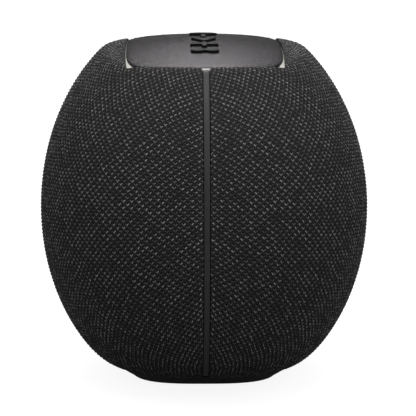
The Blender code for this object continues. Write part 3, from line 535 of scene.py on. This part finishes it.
def power_mark(reach, grow, steps=40):
    """A ring that is open towards +Y, as one outline."""
    mouth = math.radians(38) - grow / reach
    turn = [math.pi / 2 + mouth + (math.tau - 2 * mouth) * step / steps for step in range(steps + 1)]
    outer, inner = reach + grow, reach - KEY_LINE - grow
    outline = [(outer * math.cos(a), outer * math.sin(a)) for a in turn]
    return outline + [(inner * math.cos(a), inner * math.sin(a)) for a in reversed(turn)]


def key_outlines(name, grow):
    half_line = KEY_LINE / 2 + grow
    if name == "power_key":
        return [power_mark(KEY_REACH, grow), rectangle(half_line, 2.9 * MM + grow, 0, 3.6 * MM)]
    if name == "volume_down_key":
        return [rectangle(KEY_REACH + grow, half_line)]
    if name == "volume_up_key":
        return [cross(KEY_REACH + grow, half_line)]
    if name == "play_key":
        return [arrowhead(KEY_REACH, grow)]
    return [linked_discs(KEY_REACH, grow)]


def make_keys(look):
    for index, name in enumerate(KEYS):
        x = (index - 2) * KEY_PITCH
        face = CENTRE_Z + dome_rise(x, 0) + KEY_PROUD
        slope = 2 * CROWN_BEND_X * x
        foot_top = CENTRE_Z + dome_rise(abs(x) + KEY_FOOT, KEY_FOOT, PANEL_BEND_Y) - PANEL_THICKNESS - GAP
        foot_low = CENTRE_Z + KEY_FOOT_RISE
        edge = [(0.0, foot_top - 0.1 * MM), (0.0, face - 0.25 * MM), (-0.04 * MM, face - 0.12 * MM)]
        edge += [(-0.11 * MM, face - 0.04 * MM), (-0.22 * MM, face)]
        solids = [prism([(x + px, py) for px, py in rectangle(KEY_FOOT, KEY_FOOT)], foot_low, foot_top)]
        for number in range(len(key_outlines(name, 0.0))):
            rings = []
            for grow, height in edge:
                outline = key_outlines(name, grow)[number]
                fall = 0.0 if height < foot_top else slope
                rings.append([(x + px, py, height - fall * px) for px, py in outline])
            solids.append(loft(rings))
        cap = add_piece(f"{name}_cap", *merged(*solids), look, body=name)
        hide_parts(name)


# Seam strips, foot.


def strip_point(direction, tilt, y, inset):
    flat = math.cos(tilt)
    reach = float(body_reach(direction * flat, 0.0, math.sin(tilt), inset))
    return direction * reach * flat, y, CENTRE_Z + reach * math.sin(tilt)


def seam_tilt(reach, rise):
    """Tilt of the strip's surface at this distance out from the centre in plan, sought from a first rise."""
    for _ in range(EDGE_ROUNDS):
        tilt = math.atan2(rise, reach)
        rise = strip_point(1, tilt, 0.0, STRIP_OUTSIDE)[2] - CENTRE_Z
    return math.atan2(rise, reach)


def make_strips(look, steps=150):
    edge = [(-1.0, 1.0), (-1.0, 0.25), (-0.85, 0.06), (-0.45, 0.0)]
    crown = edge + [(-across, deep) for across, deep in edge[::-1]]
    depth = STRIP_INSIDE - STRIP_OUTSIDE
    start = seam_tilt(OPENING["length"] + TAB_REACH, CROWN)
    end = seam_tilt(FOOT_TOP["length"] + GAP, -UNDERSIDE)
    for direction, where in ((-1, "left"), (1, "right")):
        rings = []
        for step in range(steps + 1):
            tilt = start + (end - start) * step / steps
            ring = []
            for across, deep in crown:
                inset = STRIP_OUTSIDE + deep * depth
                ring.append(strip_point(direction, tilt, direction * across * STRIP_HALF, inset))
            rings.append(ring)
        strip = add_piece(f"seam_band_{where}", *loft(rings), look)
        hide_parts(f"seam_strip_{where}")


def oval_ring(size, grow, height, count=128):
    ring = []
    for angle in turns(count):
        reach = float(oval_reach(angle, size, grow))
        ring.append((reach * math.cos(angle), reach * math.sin(angle), height))
    return ring


def make_foot(plastic, rubber):
    profile = [(PAD, GAP, 1.8 * MM), (PAD, GAP, FOOT_LIFT + 0.15 * MM), (PAD, GAP + 0.3 * MM, FOOT_LIFT)]
    profile += [(FOOT_BOTTOM, -0.9 * MM, FOOT_LIFT), (FOOT_BOTTOM, -0.25 * MM, FOOT_LIFT + 0.15 * MM)]
    profile += [(FOOT_BOTTOM, 0.2 * MM, FOOT_LIFT + 0.6 * MM), (FOOT_TOP, -0.5 * MM, FOOT_HEIGHT - 0.9 * MM)]
    profile += [(FOOT_TOP, 0.0, FOOT_HEIGHT - 0.3 * MM), (FOOT_TOP, -0.3 * MM, FOOT_HEIGHT)]
    profile += [(PAD, 0.0, FOOT_HEIGHT), (PAD, 0.0, FOOT_NECK)]
    base = add_piece("foot_shell", *loft([oval_ring(*ring) for ring in profile]), plastic)
    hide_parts("foot_base")
    edge = [(PAD, -0.4 * MM, 0.0), (PAD, -0.1 * MM, 0.12 * MM), (PAD, 0.0, 0.4 * MM), (PAD, 0.0, 1.5 * MM)]
    pad = add_piece("foot_grip", *loft([oval_ring(*ring) for ring in edge]), rubber)
    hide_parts("foot_pad")


# Materials.


class Look:
    """A material under construction: its node tree, and short ways to add to it."""

    def __init__(self, name, roughness, metallic=0.0, specular=0.3):
        self.material = bpy.data.materials.new(name)
        self.material.use_nodes = True
        self.tree = self.material.node_tree
        self.shader = self.tree.nodes["Principled BSDF"]
        self.shader.inputs["Roughness"].default_value = roughness
        self.shader.inputs["Metallic"].default_value = metallic
        self.shader.inputs["Specular IOR Level"].default_value = specular

    def node(self, kind, inputs=None, **settings):
        made = self.tree.nodes.new(kind)
        for key, value in settings.items():
            setattr(made, key, value)
        for key, value in (inputs or {}).items():
            if isinstance(value, bpy.types.NodeSocket):
                self.tree.links.new(value, made.inputs[key])
            else:
                made.inputs[key].default_value = value
        return made

    def math(self, operation, *values):
        return self.node("ShaderNodeMath", dict(enumerate(values)), operation=operation).outputs[0]

    def spread(self, value, low, high, to_low=0.0, to_high=1.0, kind="LINEAR"):
        """Value from low to high, mapped to the range from to_low to to_high and clamped there."""
        inputs = {"Value": value, "From Min": low, "From Max": high, "To Min": to_low, "To Max": to_high}
        return self.node("ShaderNodeMapRange", inputs, interpolation_type=kind).outputs["Result"]

    def blend(self, share, low, high):
        mixer = self.node("ShaderNodeMix", {"Factor": share}, data_type="RGBA")
        for socket, colour in ((mixer.inputs[6], low), (mixer.inputs[7], high)):
            if isinstance(colour, bpy.types.NodeSocket):
                self.tree.links.new(colour, socket)
            else:
                socket.default_value = (*colour, 1.0)
        return mixer.outputs[2]

    def place(self, stretch=(1, 1, 1)):
        """Position in millimetres, stretched along each axis."""
        position = self.node("ShaderNodeTexCoord").outputs["Object"]
        scale = tuple(1000 / part for part in stretch)
        return self.node("ShaderNodeMapping", {"Vector": position, "Scale": scale}).outputs["Vector"]

    def noise(self, place, grain, detail=2.0):
        """Noise whose grains are about that many units across."""
        inputs = {"Vector": place, "Scale": 1 / grain, "Detail": detail}
        return self.node("ShaderNodeTexNoise", inputs).outputs["Fac"]

    def finish(self, colour=None, roughness=None, height=None, bump=0.1 * MM, strength=1.0):
        """Links what varies to the shader."""
        if colour:
            self.tree.links.new(colour, self.shader.inputs["Base Color"])
        if roughness:
            self.tree.links.new(roughness, self.shader.inputs["Roughness"])
        if height:
            inputs = {"Height": height, "Distance": bump, "Strength": strength}
            normal = self.node("ShaderNodeBump", inputs).outputs["Normal"]
            self.tree.links.new(normal, self.shader.inputs["Normal"])
        return self.material


def grained(name, dark, light, roughness, grain, bump, metallic=0.0, specular=0.3, stretch=(1, 1, 1)):
    """A moulded, cast or drawn finish: cloudy colour with a fine grain of given size in millimetres."""
    look = Look(name, roughness, metallic, specular)
    place = look.place(stretch)
    fine = look.noise(place, grain)
    cloud = look.noise(place, 25 * grain, 3.0)
    share = look.math("ADD", look.math("MULTIPLY", fine, 0.5), look.math("MULTIPLY", cloud, 0.5))
    colour = look.blend(look.spread(share, 0.3, 0.7), dark, light)
    rough = look.spread(cloud, 0.3, 0.7, roughness - 0.07, roughness + 0.07)
    return look.finish(colour, rough, fine, bump)


def stitch_nodes(look, across, rows, below):
    """Distance from the nearer leg of a stitch, its local place, and its random number, in the row that is
    below rows down."""
    row = look.math("SUBTRACT", look.math("FLOOR", rows), float(below))
    shift = look.math("MULTIPLY", look.math("FLOORED_MODULO", row, 2.0), 0.5)
    shifted = look.math("ADD", across, shift)
    column = look.math("FLOOR", shifted)
    place = look.math("SUBTRACT", look.math("SUBTRACT", shifted, column), 0.5)
    leg = look.math("MULTIPLY", look.math("GREATER_THAN", place, 0.0), 0.5)
    x = look.math("ABSOLUTE", place)
    x = look.math("MULTIPLY", x, STITCH_WIDTH / MM)
    y = look.math("SUBTRACT", look.math("SUBTRACT", rows, row), 0.5)
    y = look.math("MULTIPLY", y, ROW_HEIGHT / MM)
    foot_x, foot_y = (part / MM for part in LEG_FOOT)
    leg_x, leg_y = ((tip - foot) / MM for tip, foot in zip(LEG_TIP, LEG_FOOT))
    long = leg_x**2 + leg_y**2
    from_x = look.math("SUBTRACT", x, foot_x)
    from_y = look.math("SUBTRACT", y, foot_y)
    along_x = look.math("MULTIPLY", from_x, leg_x / long)
    along_y = look.math("MULTIPLY", from_y, leg_y / long)
    along = look.math("ADD", along_x, along_y)
    along = look.spread(along, 0.0, 1.0)
    off_x = look.math("SUBTRACT", from_x, look.math("MULTIPLY", along, leg_x))
    off_y = look.math("SUBTRACT", from_y, look.math("MULTIPLY", along, leg_y))
    squares = look.math("ADD", look.math("MULTIPLY", off_x, off_x), look.math("MULTIPLY", off_y, off_y))
    away = look.math("SQRT", squares)
    cell = look.node("ShaderNodeCombineXYZ", {"X": look.math("ADD", column, leg), "Y": row}).outputs[0]
    chance = look.node("ShaderNodeTexWhiteNoise", {"Vector": cell}, noise_dimensions="2D").outputs["Value"]
    return away, x, y, chance, leg


def knit_look():
    look = Look("knit", 0.9, 0.0, 0.03)
    flat = look.node("ShaderNodeUVMap", uv_map="stitches").outputs["UV"]
    axes = look.node("ShaderNodeSeparateXYZ", {"Vector": flat}).outputs
    across, rows = axes["X"], axes["Y"]
    strands = []
    for below in (0, 1):
        away, x, y, chance, leg = stitch_nodes(look, across, rows, below)
        strand = look.spread(away, 0.12, 0.42, 1.0, 0.0, "SMOOTHSTEP")
        # Each leg's tone varies at random from stitch to stitch. On top of that, the leg on the +X side is
        # painted about 2.5 times brighter than the other: a painted highlight on one side of each stitch.
        tone_and_highlight = look.math("ADD", look.math("MULTIPLY", look.math("POWER", chance, 2.0), 0.85), 0.15)
        tone_and_highlight = look.math("MULTIPLY", tone_and_highlight, look.math("ADD", look.math("MULTIPLY", leg, 1.7), 0.55))
        strands.append(look.math("MULTIPLY", strand, tone_and_highlight))
        # The hole in each stitch is masked here so it can be painted near-black: painted shade in the knit's
        # holes.
        if not below:
            hole_x = look.math("DIVIDE", x, HOLE_HALF[0] / MM)
            hole_y = look.math("DIVIDE", look.math("SUBTRACT", y, HOLE_PLACE[1] / MM), HOLE_HALF[1] / MM)
            square_x = look.math("MULTIPLY", hole_x, hole_x)
            squares = look.math("ADD", square_x, look.math("MULTIPLY", hole_y, hole_y))
            ground = look.spread(squares, 0.5, 1.6, 0.0, 1.0, "SMOOTHSTEP")
    strand = look.math("MAXIMUM", *strands)
    place = look.place()
    fibre = look.noise(place, 0.22, 2.0)
    cloud = look.noise(place, 14.0, 2.0)
    ground_and_hole_shade = look.math("MULTIPLY", ground, look.spread(fibre, 0.3, 0.7, 0.7, 1.3))
    # Ground at 0.026, painted down to 0.004 in the holes as painted shade.
    base = look.blend(ground_and_hole_shade, (0.004, 0.004, 0.004), (0.026, 0.0255, 0.026))
    lit = look.math("MULTIPLY", strand, look.spread(fibre, 0.3, 0.7, 0.65, 1.25))
    lit = look.math("MULTIPLY", lit, look.spread(cloud, 0.35, 0.65, 0.92, 1.08))
    # The legs are painted up to 0.27 over the dark ground. This is a painted highlight on the raised yarn,
    # carrying the random tone per leg and a fine fibre variation.
    colour = look.blend(lit, base, (0.27, 0.265, 0.265))
    return look.finish(colour, None, fibre, 0.12 * MM)


def panel_look():
    look = Look("satin_metal", 0.3, 0.85, 0.3)
    look.shader.inputs["Specular Tint"].default_value = (0.38, 0.37, 0.375, 1)
    place = look.place()
    grain = look.noise(place, 0.9, 2.0)
    fine = look.noise(place, 0.16, 1.0)
    cloud = look.noise(place, 30.0, 2.0)
    share = look.math("ADD", look.math("MULTIPLY", grain, 0.92), look.math("MULTIPLY", cloud, 0.08))
    colour = look.blend(look.spread(share, 0.35, 0.65), (0.045, 0.0435, 0.0455), (0.115, 0.112, 0.117))
    rough = look.spread(fine, 0.3, 0.7, 0.16, 0.28)
    return look.finish(colour, rough, grain, 0.2 * MM)


def key_look():
    """Matt black elastomer."""
    look = Look("key_elastomer", 0.5, 0.0, 0.1)
    look.shader.inputs["IOR"].default_value = 1.3
    place = look.place()
    fine = look.noise(place, 0.3, 2.0)
    colour = look.blend(look.spread(fine, 0.3, 0.7), (0.004, 0.004, 0.004), (0.009, 0.009, 0.009))
    rough = look.spread(look.noise(place, 4.0, 2.0), 0.3, 0.7, 0.46, 0.58)
    return look.finish(colour, rough, fine, 0.01 * MM)


def board_look():
    """Circuit board: green resist over tracks, with tinned pads."""
    look = Look("circuit_board", 0.4, 0.0, 0.5)
    place = look.place()
    bricks = {"Vector": place, "Scale": 0.35, "Mortar Size": 0.03}
    tracks = look.node("ShaderNodeTexBrick", bricks, offset=0.4)
    pads = look.node("ShaderNodeTexVoronoi", {"Vector": place, "Scale": 0.4}).outputs["Distance"]
    resist = look.blend(tracks.outputs["Fac"], (0.012, 0.08, 0.035), (0.03, 0.15, 0.07))
    colour = look.blend(look.spread(pads, 0.16, 0.2, 1.0, 0.0), resist, (0.6, 0.6, 0.58))
    return look.finish(colour, None, tracks.outputs["Fac"], 0.04 * MM)


def wound_look():
    """Coil of lacquered copper wire, wound about Y."""
    look = Look("wound_copper", 0.35, 1.0, 0.5)
    waves = {"Vector": look.place(), "Scale": 1.2, "Distortion": 0.2}
    wire = look.node("ShaderNodeTexWave", waves, bands_direction="Y").outputs["Fac"]
    colour = look.blend(wire, (0.22, 0.08, 0.03), (0.7, 0.3, 0.14))
    return look.finish(colour, None, wire, 0.1 * MM)


def make_looks():
    """A finish for each of the record's material slots."""
    return {
        "knit_fabric": knit_look(),
        "frame_plastic": grained("frame_plastic", (0.05, 0.05, 0.051), (0.08, 0.08, 0.08),
                                 0.6, 0.35, 0.03 * MM, specular=0.08),
        "strip_plastic": grained("strip_plastic", (0.030, 0.030, 0.030), (0.042, 0.042, 0.043),
                                 0.5, 0.3, 0.02 * MM, specular=0.25),
        "panel_metal": panel_look(),
        "trim_plastic": grained("trim_plastic", (0.36, 0.34, 0.31), (0.46, 0.44, 0.4), 0.45, 0.4, 0.02 * MM),
        "black_rubber": grained("black_rubber", (0.05, 0.05, 0.05), (0.08, 0.08, 0.08), 0.45, 0.3, 0.02 * MM,
                                specular=0.35),
        "cone_paper": grained("cone_paper", (0.015, 0.015, 0.015), (0.05, 0.05, 0.048), 0.85, 0.5, 0.1 * MM,
                              specular=0.1, stretch=(3, 1, 1)),
        "zinc_steel": grained("zinc_steel", (0.35, 0.35, 0.36), (0.6, 0.6, 0.6), 0.35, 0.5, 0.02 * MM, 1.0),
        "ferrite": grained("ferrite", (0.03, 0.03, 0.034), (0.07, 0.07, 0.075), 0.6, 0.25, 0.05 * MM, 0.2),
        "coil_copper": wound_look(),
        "board_green": board_look(),
        "fin_alloy": grained("fin_alloy", (0.5, 0.5, 0.52), (0.72, 0.72, 0.74), 0.38, 0.3, 0.02 * MM, 1.0,
                             stretch=(1, 1, 12)),
        "cell_wrap": grained("cell_wrap", (0.015, 0.07, 0.26), (0.03, 0.11, 0.34),
                             0.35, 0.8, 0.02 * MM, specular=0.4),
        "lead_red": grained("lead_red", (0.3, 0.015, 0.01), (0.5, 0.035, 0.025), 0.45, 0.4, 0.02 * MM),
    }


def finish_nodes(looks):
    """Gives each CAD node that stays the finish of its material slot."""
    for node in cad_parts.values():
        for index, old in enumerate(node.data.materials):
            slot = old.name.split(".")[0]
            node.data.materials[index] = looks[slot]


# Studio. Each lamp has a name, a place, a size in metres and a power in watts.
FLOOR_HALF = 6.0
FLOOR_LEVEL = -0.05 * MM
FLOOR_GLOW = (0.04, 0.9)
LAMPS = (
    ("overhead", (0.25, 0, 1.3), 1.0, 7.0),
    ("front", (1.15, 0.75, 0.9), 0.8, 1.7),
    ("back", (-1.25, 0, 0.78), 0.35, 1.9),
)
SKY_RISE = (0.08, 0.6)
SKY_GLOW = (0.05, 0.95)
CAMERA_DISTANCE = 1.4
CAMERA_ELEVATION = math.radians(9.26)
CAMERA_SWING = math.radians(0.8)
CAMERA_LENS = 262.3
CAMERA_SENSOR = 36.0
CAMERA_SHIFT = (0.0101, -0.0096)


def make_studio():
    scene = bpy.context.scene
    scene.view_settings.view_transform = "Standard"
    mesh = bpy.data.meshes.new("floor")
    corners = [(x, y, FLOOR_LEVEL) for x, y in rectangle(FLOOR_HALF, FLOOR_HALF)]
    mesh.from_pydata(corners, [], [(0, 1, 2, 3)])
    floor = bpy.data.objects.new("floor", mesh)
    scene.collection.objects.link(floor)
    pale = Look("pale_floor", 0.9, 0.0, 0.1)
    pale.shader.inputs["Base Color"].default_value = (0.25, 0.25, 0.25, 1)
    pale.shader.inputs["Emission Color"].default_value = (1, 1, 1, 1)
    seen = pale.node("ShaderNodeLightPath").outputs["Is Camera Ray"]
    pale.tree.links.new(pale.spread(seen, 0.0, 1.0, *FLOOR_GLOW), pale.shader.inputs["Emission Strength"])
    mesh.materials.append(pale.material)
    scene.world = make_world()
    middle = Vector((0, 0, CENTRE_Z))
    for name, place, size, power in LAMPS:
        lamp = bpy.data.lights.new(name, "AREA")
        lamp.shape = "DISK"
        lamp.size = size
        lamp.energy = power
        light = bpy.data.objects.new(name, lamp)
        light.location = place
        light.rotation_euler = (middle - Vector(place)).to_track_quat("-Z", "Y").to_euler()
        scene.collection.objects.link(light)


def make_world():
    """A white background, which lights the object mostly from above."""
    world = bpy.data.worlds.new("studio")
    world.use_nodes = True
    tree = world.node_tree
    direction = tree.nodes.new("ShaderNodeTexCoord").outputs["Generated"]
    rise = tree.nodes.new("ShaderNodeSeparateXYZ")
    tree.links.new(direction, rise.inputs[0])
    glow = tree.nodes.new("ShaderNodeMapRange")
    tree.links.new(rise.outputs["Z"], glow.inputs["Value"])
    glow.inputs["From Min"].default_value = SKY_RISE[0]
    glow.inputs["From Max"].default_value = SKY_RISE[1]
    glow.inputs["To Min"].default_value = SKY_GLOW[0]
    glow.inputs["To Max"].default_value = SKY_GLOW[1]
    seen = tree.nodes.new("ShaderNodeLightPath").outputs["Is Camera Ray"]
    strength = tree.nodes.new("ShaderNodeMath")
    strength.operation = "MAXIMUM"
    tree.links.new(glow.outputs["Result"], strength.inputs[0])
    tree.links.new(seen, strength.inputs[1])
    background = tree.nodes["Background"]
    background.inputs["Color"].default_value = (1, 1, 1, 1)
    tree.links.new(strength.outputs[0], background.inputs["Strength"])
    return world


def make_camera():
    """Looks along the long axis from the right end, a little from above and from the front."""
    flat = CAMERA_DISTANCE * math.cos(CAMERA_ELEVATION)
    rise = CAMERA_DISTANCE * math.sin(CAMERA_ELEVATION)
    middle = Vector((0, 0, CENTRE_Z))
    place = middle + Vector((flat * math.cos(CAMERA_SWING), -flat * math.sin(CAMERA_SWING), rise))
    view = bpy.data.cameras.new("camera")
    view.lens = CAMERA_LENS
    view.sensor_width = CAMERA_SENSOR
    view.shift_x, view.shift_y = CAMERA_SHIFT
    camera = bpy.data.objects.new("camera", view)
    camera.location = place
    camera.rotation_euler = (middle - place).to_track_quat("-Z", "Y").to_euler()
    bpy.context.scene.collection.objects.link(camera)
    bpy.context.scene.camera = camera


looks = make_looks()
finish_nodes(looks)
make_camera()
make_studio()
make_knit("front_knit", -1, "front_cover", looks["knit_fabric"])
make_knit("rear_knit", 1, "rear_cover", looks["knit_fabric"])
make_panel(looks["panel_metal"])
make_trim(looks["trim_plastic"])
make_keys(key_look())
make_strips(looks["strip_plastic"])
make_foot(looks["frame_plastic"], looks["black_rubber"])
